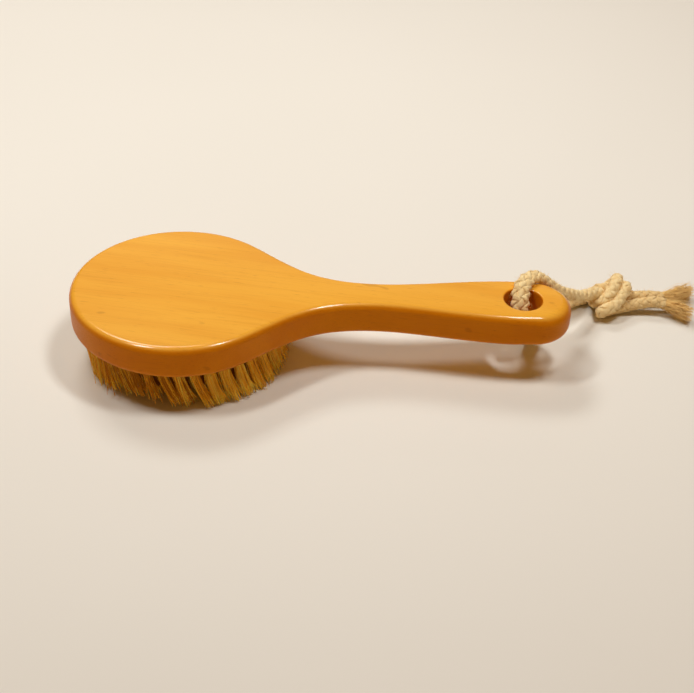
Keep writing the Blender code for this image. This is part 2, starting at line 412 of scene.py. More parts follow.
COTTON_DARK = (0.84, 0.60, 0.26)
COTTON_PALE = (0.92, 0.73, 0.37)
COTTON_FIBRE = (0.70, 0.42, 0.13)
COTTON_DARKER_END = (0.66, 0.42, 0.15)
COTTON_LOOSE = (0.87, 0.58, 0.20)
DARKER_END_FROM = 98 * MM  # along each half of the cord, over which its colour turns darker towards the tail
DARKER_END_TO = 128 * MM
TWIST_ALONG = 5200  # radians of a yarn's twist for each metre of strand
TWIST_AROUND = 5  # and for each radian around the strand

FLOOR_COLORS = ((0.785, 0.752, 0.652), (0.805, 0.772, 0.672))


def wood_material():
    """Pale close-grained wood under a clear, slightly amber varnish."""
    wood = Shader(
        "varnished_wood", Roughness=0.42, Specular_IOR_Level=0.1, Specular_Tint=(1, 0.65, 0.2, 1),
        Coat_Roughness=0.165, Coat_IOR=1.5,
    )
    bands = wood.noise(wood.place((0.10, 1, 0.6), 0.010, 14, GRAIN_ANGLE), 90, 3)
    drift = wood.noise(wood.place((0.35, 1, 1), turn=GRAIN_ANGLE), 26)
    fibres = wood.noise(wood.place((0.018, 1, 1), 0.002, 30, GRAIN_ANGLE), 1500)
    pores = wood.noise(wood.place((0.07, 1, 1), turn=GRAIN_ANGLE), 2400, 1)
    specks = wood.noise(wood.place((0.45, 1, 1), turn=GRAIN_ANGLE), 210, 1)
    color = wood.mix(wood.spread(bands, 0.36, 0.66), WOOD_PALE, WOOD_BAND)
    color = wood.mix(wood.spread(drift, 0.3, 0.75, 0, 0.35), color, WOOD_CLOUD)
    color = wood.mix(wood.spread(fibres, 0.45, 0.75, 0, 0.22), color, WOOD_FIBRE)
    color = wood.mix(wood.spread(pores, 0.66, 0.76, 0, 0.4), color, WOOD_PORE)
    color = wood.mix(wood.spread(specks, 0.735, 0.79, 0, 0.26), color, WOOD_SPECK)
    normal = wood.node("ShaderNodeNewGeometry").outputs["Normal"]
    upright = wood.math("ABSOLUTE", wood.node("ShaderNodeSeparateXYZ", Vector=normal).outputs["Z"])
    # Painted shade: the steep faces are multiplied darker than the flats
    color = wood.mix(wood.spread(upright, 0.5, 0.98, 1, 0), color, STEEP_PAINTED_SHADE, "MULTIPLY")
    wood.give("Coat Weight", wood.spread(upright, 0.35, 0.8, 0.03, 0.8))
    wood.give("Base Color", color)
    wood.give("Roughness", wood.spread(fibres, 0.3, 0.7, 0.36, 0.48))
    ripple = wood.noise(wood.place((0.5, 1, 1)), 70)
    ripple_normal = wood.bump(ripple, 0.25 * MM, 0.25)
    wood.give("Normal", wood.bump(fibres, 0.03 * MM, 0.3, ripple_normal))
    wood.give("Coat Normal", ripple_normal)
    return wood.material


def bristle_material(name, color):
    """One tone of undyed natural bristle, a slightly shiny hair. Its faint glow stands in for the
    light that is scattered on through many pale hairs."""
    return Shader(
        name, Base_Color=(*color, 1), Emission_Color=(*color, 1), Emission_Strength=0.03,
        Roughness=0.42, Specular_IOR_Level=0.3, Specular_Tint=(1, 0.6, 0.15, 1),
    ).material


def cotton_material():
    """Undyed cotton yarn: soft, matt, with fibres twisted along each strand."""
    cotton = Shader("cotton_cord", Roughness=0.95, Sheen_Weight=0.14, Sheen_Roughness=0.5)
    coords = cotton.place()
    lump = cotton.noise(coords, 420, 3)
    fine = cotton.noise(coords, 3800)
    along = cotton.attribute("along")
    turns = cotton.math("MULTIPLY", cotton.attribute("around"), TWIST_AROUND)
    twist = cotton.math("SINE", cotton.math("MULTIPLY_ADD", along, TWIST_ALONG, turns))
    color = cotton.mix(cotton.spread(lump, 0.3, 0.7), COTTON_DARK, COTTON_PALE)
    color = cotton.mix(cotton.spread(fine, 0.5, 0.75, 0, 0.3), color, COTTON_FIBRE)
    darker_end = cotton.spread(along, DARKER_END_FROM, DARKER_END_TO, 0, 0.45)
    cotton.give("Base Color", cotton.mix(darker_end, color, COTTON_DARKER_END))
    height = cotton.math("MULTIPLY_ADD", twist, 0.25, fine)
    lumpy = cotton.bump(lump, 0.3 * MM, 0.5)
    cotton.give("Normal", cotton.bump(height, 0.12 * MM, 0.7, lumpy))
    return cotton.material


def floor_material():
    """Pale cream card."""
    card = Shader("pale_floor", Roughness=0.85)
    coords = card.place()
    cloud = card.noise(coords, 3)
    tooth = card.noise(coords, 900)
    card.give("Base Color", card.mix(card.spread(cloud, 0.3, 0.7), *FLOOR_COLORS))
    card.give("Normal", card.bump(tooth, 0.02 * MM, 0.2))
    return card.material


def loose_cotton_material():
    """The same cotton where it is combed out into single yarns and fibres."""
    return Shader("loose_cotton", Roughness=0.9, Base_Color=(*COTTON_LOOSE, 1)).material


WOOD = wood_material()
COTTON = cotton_material()
LOOSE_COTTON = loose_cotton_material()


# ---------------------------------------------------------------- cord

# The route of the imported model: from the knot, over the far edge, down through the hole and back
CORD_ROUTE = np.array((
    (0.1107, 0.0326, 0.0097),
    (0.1083, 0.0312, 0.0109),
    (0.1052, 0.0286, 0.0130),
    (0.1010, 0.0246, 0.0164),
    (0.0966, 0.0206, 0.0200),
    (0.0924, 0.0178, 0.0239),
    (0.0882, 0.0164, 0.0284),
    (0.0848, 0.0151, 0.0322),
    (0.0812, 0.0116, 0.0338),
    (0.0783, 0.0076, 0.0334),
    (0.0771, 0.0040, 0.0314),
    (0.0769, 0.0014, 0.0278),
    (0.0770, 0.0004, 0.0234),
    (0.0772, 0.0004, 0.0180),
    (0.0779, 0.0022, 0.0118),
    (0.0808, 0.0074, 0.0066),
    (0.0850, 0.0146, 0.0039),
    (0.0894, 0.0220, 0.0030),
    (0.0940, 0.0292, 0.0030),
    (0.0990, 0.0348, 0.0033),
    (0.1038, 0.0376, 0.0039),
    (0.1078, 0.0382, 0.0046),
    (0.1107, 0.0378, 0.0052),
))
FRONT_TAIL = np.array(((0.1290, 0.0376, 0.0082), (0.1360, 0.0372, 0.0074), (0.1435, 0.0366, 0.0054)))
REAR_TAIL = np.array(((0.1290, 0.0424, 0.0064), (0.1360, 0.0424, 0.0058), (0.1435, 0.0428, 0.0046)))
FRONT_FRAY = np.array(((0.1442, 0.0365, 0.0052), (0.1504, 0.0340, 0.0042), (0.1536, 0.0318, 0.0039)))
REAR_FRAY = np.array(((0.1442, 0.0429, 0.0045), (0.1520, 0.0458, 0.0040), (0.1574, 0.0490, 0.0040)))
TOP_OF_LOOP = 12  # the route's point in the middle of the hole
KNOT_FROM = 2  # the route's point where the knot takes over, counted from either end
PRESSED = 1.6 * MM  # a flattened cord's middle lies this much closer to the wood
UNDER_BEND = np.array((0.0770, 0.0080, 0.0265))  # in the wood under the bend over the far edge

# The overhand knot, tied in both halves of the cord side by side
KNOT_STEPS = 110  # points on each half
KNOT_ROUNDS = 1200
KNOT_PASSES = 6  # in each round, that give the segments their length
KNOT_SLACK_SIZE = 11 * MM  # of the open knot that is then pulled tight
KNOT_LENGTH = 84 * MM  # of each half between the points where it is held
KNOT_CONTACT = 4.4 * MM  # between the middles of touching stretches
KNOT_TURN = math.radians(30)  # about the line that the cord is pulled along
HALVES_APART = math.radians(75)  # where one half starts round the other, from level
KNOT_MIDDLE = np.array((KNOT_LOW + KNOT_HIGH) / 2)
LOWEST_CORD = 2.75 * MM  # of the middle line in the knot, so that the strands clear the floor
START_APART = 0.55 * KNOT_CONTACT  # of each half from the line between them in the open knot
LEAST_CHORD = 0.9  # between two points one diameter apart along the cord, in diameters
LONGEST_PARTING = 0.12 * KNOT_CONTACT  # that a point is pushed in one round
RELAX_ROUNDS = 12
CURVE_STEPS = 24  # between two points of a route

# The share of what is wrong that each round of the tying puts right
STRAIGHTENING = 0.25
SMOOTHING = 0.15
PARTING = 0.175
CENTRING = 0.05


def open_knot():
    """Both halves side by side along a wide open overhand knot, (2, steps, 3). The knot is the
    polynomial form of a trefoil with its ends drawn out."""
    t = np.linspace(-2, 2, KNOT_STEPS)
    core = np.stack((0.36 * (t**5 - 10 * t), 1.25 * (t**3 - 3 * t), t**4 - 4 * t**2 + 2), axis=1)
    core *= KNOT_SLACK_SIZE
    along = unit(np.gradient(core, axis=0))
    apart = np.zeros_like(core)
    way = np.array((0, math.cos(HALVES_APART), math.sin(HALVES_APART)))
    for i in range(KNOT_STEPS):
        way = unit(way - along[i] * (way @ along[i]))
        apart[i] = way
    apart *= START_APART
    cos, sin = math.cos(KNOT_TURN), math.sin(KNOT_TURN)
    turn = np.array(((1, 0, 0), (0, cos, -sin), (0, sin, cos)))
    return np.stack((core + apart, core - apart)) @ turn.T + KNOT_MIDDLE


def pull_segments(points, length):
    """Gives every segment its length, the even ones first and then the odd ones."""
    steps = points.shape[1]
    for first in (0, 1):
        pairs = (steps - first) // 2
        starts = points[:, first : first + 2 * pairs : 2]
        ends = points[:, first + 1 : first + 1 + 2 * pairs : 2]
        way = ends - starts
        size = np.linalg.norm(way, axis=2, keepdims=True)
        move = 0.5 * (size - length) / np.maximum(size, 1e-12) * way
        starts += move
        ends -= move


def resist_bending(points, step):
    """Keeps points one diameter apart along the cord nearly that far apart in space."""
    reach = max(2, round(KNOT_CONTACT / step))
    way = points[:, reach:] - points[:, :-reach]
    size = np.linalg.norm(way, axis=2, keepdims=True)
    least = LEAST_CHORD * reach * step
    move = np.where(size < least, STRAIGHTENING * (least - size) / np.maximum(size, 1e-12), 0) * way
    points[:, :-reach] -= move
    points[:, reach:] += move
    points[:, 1:-1] += SMOOTHING * ((points[:, :-2] + points[:, 2:]) / 2 - points[:, 1:-1])


def push_apart(points, step, pairs):
    """Moves points of different stretches of cord out of each other. Points of one half count only
    if they are more than one and a half diameters apart along it."""
    flat = points.reshape(-1, 3)
    first, second, same_half, apart = pairs
    way = flat[first] - flat[second]
    squared = (way * way).sum(1)
    other_stretch = ~same_half | (apart > max(2, round(1.5 * KNOT_CONTACT / step)))
    near = (squared < KNOT_CONTACT**2) & other_stretch
    first, second, way = first[near], second[near], way[near]
    size = np.sqrt(squared[near])
    move = (PARTING * (KNOT_CONTACT - size) / np.maximum(size, 1e-9))[:, None] * way
    total = np.zeros_like(flat)
    np.add.at(total, first, move)
    np.add.at(total, second, -move)
    total_size = np.maximum(np.linalg.norm(total, axis=1, keepdims=True), 1e-12)
    flat += total * np.minimum(1, LONGEST_PARTING / total_size)


def tie_knot(entries, exits):
    """Pulls the open knot tight between the held ends. entries and exits are (point, direction) of
    each half. Returns the points of both halves, (2, steps, 3)."""
    points = open_knot()
    numbers = np.tile(np.arange(KNOT_STEPS), 2)
    half = np.repeat((0, 1), KNOT_STEPS)
    first, second = np.triu_indices(2 * KNOT_STEPS, 1)
    pairs = (first, second, half[first] == half[second], np.abs(numbers[first] - numbers[second]))
    slack_step = np.linalg.norm(np.diff(points, axis=1), axis=2).mean()
    tight_step = KNOT_LENGTH / (KNOT_STEPS - 1)
    loose_start, loose_end = points[:, 0].copy(), points[:, -1].copy()
    for turn in range(KNOT_ROUNDS):
        tightness = smoothstep(turn / (0.75 * KNOT_ROUNDS))
        held = smoothstep(turn / (0.5 * KNOT_ROUNDS))
        step = slack_step * (tight_step / slack_step) ** tightness
        for _ in range(KNOT_PASSES):
            points[:, 0] = loose_start * (1 - held) + entries[:, 0] * held
            points[:, -1] = loose_end * (1 - held) + exits[:, 0] * held
            if held >= 1:
                points[:, 1] = points[:, 0] + entries[:, 1] * step
                points[:, -2] = points[:, -1] - exits[:, 1] * step
            pull_segments(points, step)
        resist_bending(points, step)
        push_apart(points, step, pairs)
        if tightness > 0.3:
            inner = points[:, KNOT_STEPS // 4 : -KNOT_STEPS // 4].reshape(-1, 3)
            points[:, 2:-2] += CENTRING * (KNOT_MIDDLE - (inner.min(0) + inner.max(0)) / 2)
            points[:, :, 2] = np.maximum(points[:, :, 2], LOWEST_CORD)
    return points


def smooth_path(points, step):
    """Evenly spaced points on a Catmull-Rom curve through the given ones."""
    points = np.asarray(points, float)
    padded = np.vstack((2 * points[0] - points[1], points, 2 * points[-1] - points[-2]))
    t = np.linspace(0, 1, CURVE_STEPS, endpoint=False)[:, None]
    fine = []
    for before, start, end, after in zip(padded, padded[1:], padded[2:], padded[3:]):
        fine.append(0.5 * (
            2 * start + (end - before) * t + (2 * before - 5 * start + 4 * end - after) * t**2
            + (3 * start - before - 3 * end + after) * t**3
        ))
    fine = np.vstack(fine + [points[-1:]])
    return even_path(fine, step)


def lengths_along(path):
    """How far along the path each of its points is."""
    return np.concatenate(([0], np.cumsum(np.linalg.norm(np.diff(path, axis=0), axis=1))))


def even_path(points, step):
    """The same path with its points about one step apart."""
    travelled = lengths_along(points)
    count = max(2, round(travelled[-1] / step))
    places = np.linspace(0, travelled[-1], count + 1)
    return np.stack([np.interp(places, travelled, points[:, k]) for k in range(3)], axis=1)


def relaxed(points, rounds):
    """The same path with its small kinks smoothed out, its ends kept."""
    points = points.copy()
    for _ in range(rounds):
        points[1:-1] += 0.5 * ((points[:-2] + points[2:]) / 2 - points[1:-1])
    return points


def pressed_to_wood(path):
    """The stretch over the board's far edge, moved closer to it as the cord flattens there."""
    share = np.interp(lengths_along(path), (3 * MM, 9 * MM, 22 * MM, 32 * MM), (0, 1, 1, 0))
    return path + PRESSED * share[:, None] * unit(UNDER_BEND - path)


def halves_of_cord():
    """Both halves from the middle of the hole through the knot to the end of the tail."""
    upper = pressed_to_wood(smooth_path(CORD_ROUTE[TOP_OF_LOOP : KNOT_FROM - 1 : -1], CORD_STEP))
    lower = smooth_path(CORD_ROUTE[TOP_OF_LOOP : -KNOT_FROM], CORD_STEP)
    tails = FRONT_TAIL, REAR_TAIL
    entries = np.array([(path[-1], unit(path[-1] - path[-2])) for path in (upper, lower)])
    exits = np.array([((tail[-2] + tail[-1]) / 2, unit(tail[-1] - tail[-2])) for tail in tails])
    knot = tie_knot(entries, exits)
    for path, knotted, tail in zip((upper, lower), knot, tails):
        whole = np.vstack((path, knotted[1:], tail[-1:]))
        yield even_path(relaxed(even_path(whole, CORD_STEP), RELAX_ROUNDS), CORD_STEP)


def carried_frame(path):
    """Two directions across the path that turn no more than they have to, the first starting
    from +X."""
    along = unit(np.gradient(path, axis=0))
    across = np.array((1.0, 0, 0))
    carried = np.zeros_like(path)
    for i, way in enumerate(along):
        across = unit(across - way * (across @ way))
        carried[i] = across
    return carried, np.cross(along, carried)


def cord_radii(path):
    """Half width and half thickness along one half of the cord: flattened in the hole and over its
    edge, round through the knot, and slimmer in the tail."""
    place = lengths_along(path)
    total = place[-1]
    sections = [0, 8 * MM, 18 * MM, 30 * MM, 44 * MM, total - 26 * MM, total - 12 * MM, total]
    wide = [4.0, 4.0, 3.3, 2.7, 2.65, 2.65, 2.45, 2.45]
    thick = [2.1, 2.0, 2.1, 2.4, 2.65, 2.65, 2.45, 2.45]
    return np.interp(place, sections, wide) * MM, np.interp(place, sections, thick) * MM


STRANDS = 4  # that wind each way
STRAND_SIDES = 10

# A strand's place and size, as shares of the cord's half width and half thickness
STRAND_OUT = 0.60  # of its middle line from the cord's
STRAND_LIFT = 0.16  # more where it passes over another, less where it passes under
STRAND_HALF_WIDTH = 0.50
STRAND_HALF_THICKNESS = 0.26


def braid(name, path, mirrored):
    """A plait of 4 strands wound one way and 4 the other, each over one and under the next."""
    wide_way, thick_way = carried_frame(path)
    if mirrored:
        thick_way = -thick_way
    wide, thick = cord_radii(path)
    place = lengths_along(path)
    turn = 2 * math.pi * place / BRAID_PITCH * (-1 if mirrored else 1)
    strands, outs = [], []
    for way in (1, -1):
        for number in range(STRANDS):
            angle = 2 * math.pi * number / STRANDS + way * turn
            crossing = angle + way * turn
            over = (-1) ** number * way
            share = STRAND_OUT + STRAND_LIFT * over * np.cos(2 * crossing)
            out_wide = (wide * np.cos(angle))[:, None] * wide_way
            out_thick = (thick * np.sin(angle))[:, None] * thick_way
            out = out_wide + out_thick
            strands.append(path + share[:, None] * out)
            outs.append(out)
    strands, outs = np.array(strands), np.array(outs)
    along = unit(np.gradient(strands, axis=1))
    sideways = np.cross(along, unit(outs))
    size = (wide + thick)[None] / 2
    half_width, half_thickness = STRAND_HALF_WIDTH * size, STRAND_HALF_THICKNESS * size
    vertices, faces = tubes(strands, half_width, half_thickness, STRAND_SIDES, sideways)
    obj = mesh_object(name, vertices, faces, [COTTON], sharp_angle=70)
    shape = (*strands.shape[:2], STRAND_SIDES)
    around = np.linspace(0, 2 * math.pi, STRAND_SIDES, endpoint=False)
    point_attribute(obj, "along", np.broadcast_to(place[None, :, None], shape))
    point_attribute(obj, "around", np.broadcast_to(around, shape))
    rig.ride(obj, "root")
    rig.slot(obj, "cotton_cord")
    return obj


YARNS = 130  # in a frayed end, as are the fibres
YARN_RADIUS = 0.25 * MM
YARN_SIDES = 5
FIBRES = 420
FIBRE_RADIUS = 0.07 * MM
FIBRE_SIDES = 3
LOOSE_STEPS = 12  # points along a yarn or a fibre
INSIDE_BRAID = 3 * MM  # that yarns and fibres start before the end of the braid
FUZZ_HAIRS = 900  # on each half of the cord
FUZZ_RADIUS = 0.03 * MM
FUZZ_ROOT = 0.92  # of the cord's own half size, where a hair starts


def loose_fibres(middle, side, up, count, start_reach, spread, bend, lowest):
    """Hairlike paths that follow middle, starting within start_reach of it. They fan out by up to
    spread times that, wave by up to bend, and stay above lowest."""
    t = np.linspace(0, 1, LOOSE_STEPS)[None, :, None]
    middle = even_path(middle, lengths_along(middle)[-1] / (LOOSE_STEPS - 1))
    angle = random.uniform(0, 2 * math.pi, (count, 1, 1))
    start = start_reach * np.sqrt(random.uniform(0, 1, (count, 1, 1)))
    offset = start * (np.cos(angle) * side + 0.8 * np.sin(angle) * up)
    grow = 1 + spread * random.uniform(0.4, 1.0, (count, 1, 1)) * t**1.3
    reach = random.uniform(0.62, 1.06, (count, 1, 1))
    phase = random.uniform(0, 2 * math.pi, (count, 1, 2))
    wave = np.sin(t * random.uniform(4, 11, (count, 1, 2)) + phase) * bend * t
    paths = middle[0] + (middle - middle[0])[None] * reach + offset * grow
    paths = paths + wave[..., :1] * side + wave[..., 1:] * up
    paths[..., 2] = np.maximum(paths[..., 2], lowest)
    return paths


def frayed_end(name, path, fan):
    """The loose yarns past the last pick of the braid, combed out into a flat brush of fibres."""
    along = unit(path[-1] - path[-5])
    side = unit(np.cross(along, (0, 0, 1.0)))
    up = np.cross(side, along)
    middle = smooth_path(np.vstack((path[-1] - INSIDE_BRAID * along, fan)), 0.5 * MM)
    yarns = loose_fibres(
        middle, side, up, YARNS, start_reach=1.9 * MM, spread=1.35, bend=0.5 * MM, lowest=0.2 * MM
    )
    fibres = loose_fibres(
        middle, side, up, FIBRES, start_reach=2.1 * MM, spread=1.55, bend=1.1 * MM, lowest=0.06 * MM
    )
    taper = np.linspace(1, 0.5, LOOSE_STEPS)[None]
    thick = YARN_RADIUS * random.uniform(0.7, 1.2, (YARNS, 1)) * taper
    thin = FIBRE_RADIUS * taper
    vertices, faces = tubes(yarns, thick, thick, YARN_SIDES)
    more_vertices, more_faces = tubes(fibres, thin, thin, FIBRE_SIDES)
    faces += [[vertex + len(vertices) for vertex in face] for face in more_faces]
    obj = mesh_object(name, np.vstack((vertices, more_vertices)), faces, [LOOSE_COTTON])
    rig.ride(obj, "root")
    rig.slot(obj, "cotton_cord")
    return obj


def fuzz(name, path):
    """Short fibres that stand off the surface of the braid."""
    wide, thick = cord_radii(path)
    wide_way, thick_way = carried_frame(path)
    along = unit(np.gradient(path, axis=0))
    place = random.integers(4, len(path) - 4, FUZZ_HAIRS)
    angle = random.uniform(0, 2 * math.pi, (FUZZ_HAIRS, 1))
    out_wide = np.cos(angle) * wide_way[place] * wide[place, None]
    out_thick = np.sin(angle) * thick_way[place] * thick[place, None]
    out = out_wide + out_thick
    combed = random.normal(0, 0.7, (FUZZ_HAIRS, 1)) * along[place]
    lean = unit(unit(out) + combed + random.normal(0, 0.3, (FUZZ_HAIRS, 3)))
    size = random.uniform(0.4, 1.5, (FUZZ_HAIRS, 1)) * MM
    root = path[place] + FUZZ_ROOT * out
    curl = random.normal(0, 0.35, (FUZZ_HAIRS, 3)) * size
    hairs = np.stack((root, root + 0.5 * size * lean, root + size * lean + curl), axis=1)
    hairs[..., 2] = np.maximum(hairs[..., 2], FUZZ_RADIUS)
    vertices, faces = tubes(hairs, FUZZ_RADIUS, FUZZ_RADIUS, FIBRE_SIDES)
    obj = mesh_object(name, vertices, faces, [LOOSE_COTTON])
    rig.ride(obj, "root")
    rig.slot(obj, "cotton_cord")
    return obj


def make_cord():
    upper, lower = halves_of_cord()
    top = braid("cord_upper_half", upper, mirrored=False)
    low = braid("cord_lower_half", lower, mirrored=True)
    front = frayed_end("frayed_yarns_front", upper, FRONT_FRAY)
    rear = frayed_end("frayed_yarns_rear", lower, REAR_FRAY)
    top_fuzz = fuzz("cord_fuzz_upper", upper)
    low_fuzz = fuzz("cord_fuzz_lower", lower)
    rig.replaces(top, "cord_loop", "cord_knot", "cord_tail_front")
    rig.replaces(low, "cord_loop", "cord_knot", "cord_tail_rear")
    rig.replaces(front, "frayed_end_front")
    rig.replaces(rear, "frayed_end_rear")
    for piece, path, on_it in ((top, upper, [front, top_fuzz]), (low, lower, [rear, low_fuzz])):
        length = lengths_along(path)[-1]
        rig.cord(
            piece, exit=path[0], length=round(length, 3), diameter=2 * CORD_RADIUS, far_end="bare",
            stiffness="limp", lay="loose", path=even_path(path, 2 * MM).tolist(),
            with_pieces=on_it,
        )


make_cord()


# ---------------------------------------------------------------- board


HEAD_STEPS = 90  # along half of the outline
SHOULDER_STEPS = 50
GRIP_STEPS = 36
END_STEPS = 36
EDGE_RINGS = 9  # across a rounded edge of the board
RIM_RINGS = 5  # across a rounded rim of the hole
STRAIGHT_SHARES = (0.25, 0.5, 0.75)  # of the board's side, where it has a ring of vertices
HOLE_SIDES = 72
RECESS_SIDES = 12
QUARTER_TURN = math.pi / 2
SHARP_ANGLE = 50  # degrees between faces, from which an edge of the board stays sharp


def bezier(start, start_handle, end_handle, end, steps):
    """Points on a cubic curve from start to end."""
    t = np.linspace(0, 1, steps + 1)[:, None]
    return (
        (1 - t) ** 3 * start + 3 * (1 - t) ** 2 * t * start_handle
        + 3 * (1 - t) * t**2 * end_handle + t**3 * end
    )


def half_outline():
    """The board's edge at y >= 0, from the head's end to the handle's tip, with the head's middle
    at the origin."""
    half_length, half_width = HEAD_LENGTH / 2, HEAD_WIDTH / 2
    angles = np.linspace(math.pi, math.acos(FLANK_X / half_length), HEAD_STEPS + 1)
    head = np.stack((half_length * np.cos(angles), half_width * np.sin(angles)), axis=1)
    flank = head[-1]
    slope = unit(np.array((1, FLANK_SLOPE)))
    neck = np.array((NECK_X, NECK_HALF_WIDTH))
    full = np.array((HANDLE_FULL_X, END_RADIUS))
    along = np.array((1.0, 0))
    leaving, arriving = slope * SHOULDER_HANDLES[0], along * SHOULDER_HANDLES[1]
    shoulder = bezier(flank, flank + leaving, neck - arriving, neck, SHOULDER_STEPS)
    leaving, arriving = along * GRIP_HANDLES[0], along * GRIP_HANDLES[1]
    grip = bezier(neck, neck + leaving, full - arriving, full, GRIP_STEPS)
    turn = np.linspace(0, QUARTER_TURN, END_STEPS + 1)
    middle = LENGTH - HEAD_LENGTH / 2 - END_RADIUS
    end = np.stack((middle + END_RADIUS * np.sin(turn), END_RADIUS * np.cos(turn)), axis=1)
    return np.vstack((head, shoulder[1:], grip[1:], end))


def outline():
    """The whole edge, clockwise seen from above, in the frame."""
    upper = half_outline()
    lower = upper[-2:0:-1] * (1, -1)
    points = np.vstack((upper, lower))
    return points + (HEAD_X, 0)


def rounding_at(x):
    """Radius of the rounded edge, which grows towards the handle's tip."""
    share = smoothstep((x - BOARD_HIGH.x + TIP_ROUNDING_STARTS) / TIP_ROUNDING_STARTS)
    return EDGE_ROUNDING + (TIP_ROUNDING - EDGE_ROUNDING) * share


def tuft_places():
    """(ring, x, y, angle) of every tuft, the outer ring first and the middle tuft last."""
    for ring, count in enumerate(TUFTS_IN_RING):
        radius = OUTER_RING_RADIUS - ring * RING_SPACING
        for i in range(count):
            angle = 2 * math.pi * (i + 0.5 * (ring % 2)) / count
            yield ring, FIELD_X + radius * math.cos(angle), radius * math.sin(angle), angle
    yield len(TUFTS_IN_RING), FIELD_X, 0.0, 0.0


class Surface:
    """Vertices and faces of a mesh, added ring by ring."""

    def __init__(self):
        self.vertices, self.faces = [], []

    def ring(self, points, z):
        first = len(self.vertices)
        heights = np.broadcast_to(z, (len(points),))
        self.vertices += [(x, y, h) for (x, y), h in zip(points, heights)]
        return list(range(first, len(self.vertices)))

    def join(self, first, second):
        """Quads between two rings of the same count."""
        for i in range(len(first)):
            j = (i + 1) % len(first)
            self.faces.append((first[i], first[j], second[j], second[i]))

    def fill(self, loops, keep):
        """Triangles between closed loops of vertices that lie in one plane, the first loop round
        the others, where keep says so of their middles."""
        numbers = [vertex for loop in loops for vertex in loop]
        points = [Vector(self.vertices[vertex][:2]) for vertex in numbers]
        edges, start = [], 0
        for loop in loops:
            edges += [(start + i, start + (i + 1) % len(loop)) for i in range(len(loop))]
            start += len(loop)
        inside, too_close = 1, 1e-7
        found, _, triangles, origins, _, _ = delaunay_2d_cdt(points, edges, [], inside, too_close)
        for triangle in triangles:
            middle = sum((found[corner] for corner in triangle), Vector((0, 0))) / len(triangle)
            if keep(middle):
                self.faces.append(tuple(numbers[origins[corner][0]] for corner in triangle))


def circle(middle, radius, steps):
    angles = np.linspace(0, 2 * math.pi, steps, endpoint=False)
    ring = np.stack((np.cos(angles), np.sin(angles)), axis=1)
    return np.array((middle[0], middle[1])) + radius * ring


def quarter_round(first, last, rings):
    """How far in and how far up each ring of a rounded edge is, as shares of its radius."""
    for angle in np.linspace(first, last, rings):
        yield 1 - math.sin(angle), 1 - math.cos(angle)


def make_board():
    """The board's rounded edge, the hole and the tuft recesses, and the flats between them."""
    surface = Surface()
    edge = outline()
    along = unit(np.roll(edge, -1, axis=0) - np.roll(edge, 1, axis=0))
    inwards = np.stack((along[:, 1], -along[:, 0]), axis=1)
    rounding = rounding_at(edge[:, 0])
    rings = []
    for inset, rise in quarter_round(0, QUARTER_TURN, EDGE_RINGS):
        line = edge + inwards * (rounding * inset)[:, None]
        rings.append(surface.ring(line, BOARD_LOW.z + rounding * rise))
    for share in STRAIGHT_SHARES:
        straight = THICKNESS - 2 * rounding
        rings.append(surface.ring(edge, BOARD_LOW.z + rounding + straight * share))
    for inset, rise in quarter_round(QUARTER_TURN, 0, EDGE_RINGS):
        line = edge + inwards * (rounding * inset)[:, None]
        rings.append(surface.ring(line, BOARD_HIGH.z - rounding * rise))
    for lower, upper in zip(rings, rings[1:]):
        surface.join(lower, upper)

    hole_rings = []
    for inset, rise in quarter_round(0, QUARTER_TURN, RIM_RINGS):
        around = circle(HOLE, HOLE_RADIUS + HOLE_RIM_ROUNDING * inset, HOLE_SIDES)
        hole_rings.append(surface.ring(around, BOARD_LOW.z + HOLE_RIM_ROUNDING * rise))
    for inset, rise in quarter_round(QUARTER_TURN, 0, RIM_RINGS):
        around = circle(HOLE, HOLE_RADIUS + HOLE_RIM_ROUNDING * inset, HOLE_SIDES)
        hole_rings.append(surface.ring(around, BOARD_HIGH.z - HOLE_RIM_ROUNDING * rise))
    for lower, upper in zip(hole_rings, hole_rings[1:]):
        surface.join(upper, lower)

    tufts = [Vector((x, y)) for _, x, y, _ in tuft_places()]
    mouths = []
    for middle in tufts:
        around = circle(middle, RECESS_RADIUS, RECESS_SIDES)
        mouth = surface.ring(around, BOARD_LOW.z)
        root = surface.ring(around, BOARD_LOW.z + RECESS_DEPTH)
        surface.join(root, mouth)
        surface.faces.append(tuple(root))
        mouths.append(mouth)

    # The sides of a polygon lie a little inside its circle
    rim_radius = 0.998 * (HOLE_RADIUS + HOLE_RIM_ROUNDING)
    mouth_radius = 0.96 * RECESS_RADIUS

    def outside_hole(point):
        return (point - HOLE.xy).length > rim_radius

    def outside_tufts(point):
        return outside_hole(point) and all((point - tuft).length > mouth_radius for tuft in tufts)

    surface.fill([rings[-1], hole_rings[-1]], outside_hole)
    surface.fill([rings[0], hole_rings[0]] + mouths, outside_tufts)
    board = mesh_object("wooden_board", surface.vertices, surface.faces, [WOOD])
    tidy_normals(board)
    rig.ride(board, "root")
    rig.slot(board, "varnished_wood")
    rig.replaces(board, "wooden_body")


def tidy_normals(obj):
    """Faces point out, the recesses keep sharp rims, and the flats shade flat."""
    bm = bmesh.new()
    bm.from_mesh(obj.data)
    bmesh.ops.recalc_face_normals(bm, faces=bm.faces)
    bm.to_mesh(obj.data)
    bm.free()
    obj.data.set_sharp_from_angle(angle=math.radians(SHARP_ANGLE))
    weighted = obj.modifiers.new("Weighted normals", "WEIGHTED_NORMAL")
    weighted.keep_sharp = True


make_board()


# ---------------------------------------------------------------- bristles

HAIR_STEPS = 6  # points from the root down to the tip
HAIR_SIDES = 3
HAIR_PARTS = (("root", 0.7), ("middle", 1.0), ("tip", 1.08))  # and how bright each is; the darker root is partly the hair's own colour and partly painted shade under the board
SEGMENT_PARTS = np.array((0, 1, 1, 1, 2))  # the part that each stretch between two points is in
HAIR_RADIUS = 0.17 * MM
OUTER_HAIRS = 84  # in a tuft that isn't worn
RING_2_HAIRS = 40
INNER_HAIRS = 26
OUTER_TUFTS_IN_PIECE = 10

